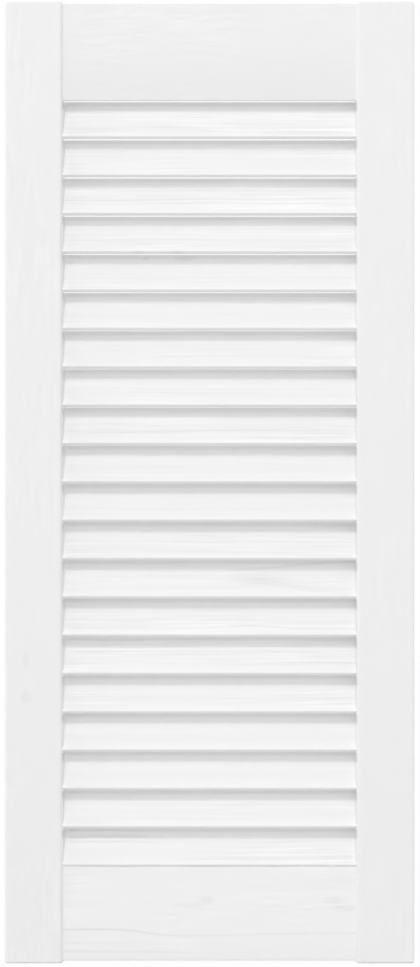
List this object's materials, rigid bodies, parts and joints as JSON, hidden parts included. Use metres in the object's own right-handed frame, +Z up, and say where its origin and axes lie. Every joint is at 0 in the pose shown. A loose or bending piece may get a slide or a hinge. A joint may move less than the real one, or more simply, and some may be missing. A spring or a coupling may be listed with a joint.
{
  "type": "louvred door",
  "caption": "White painted pine cupboard door leaf: stiles and rails frame a stack of fixed sloping round-edged slats that let air through.",
  "frame": {"origin": "middle of the left stile's outer edge seen from the front, at mid height and mid thickness", "axes": "+Z up along the stiles, +X across the door from the hinge edge to the free edge, -Y out of the front"},
  "size_m": [0.294, 0.021, 0.69],
  "materials": {
    "stile_paint": "satin white paint on pine",
    "rail_paint": "satin white paint on pine",
    "slat_paint": "satin white paint on pine"
  },
  "bodies": {
    "root": {"left_stile": "stile_paint", "right_stile": "stile_paint", "top_rail": "rail_paint", "bottom_rail": "rail_paint", "slat_01": "slat_paint", "slat_02": "slat_paint", "slat_03": "slat_paint", "slat_04": "slat_paint", "slat_05": "slat_paint", "slat_06": "slat_paint", "slat_07": "slat_paint", "slat_08": "slat_paint", "slat_09": "slat_paint", "slat_10": "slat_paint", "slat_11": "slat_paint", "slat_12": "slat_paint", "slat_13": "slat_paint", "slat_14": "slat_paint", "slat_15": "slat_paint", "slat_16": "slat_paint", "slat_17": "slat_paint", "slat_18": "slat_paint", "slat_19": "slat_paint", "slat_20": "slat_paint"}
  },
  "joints": []
}
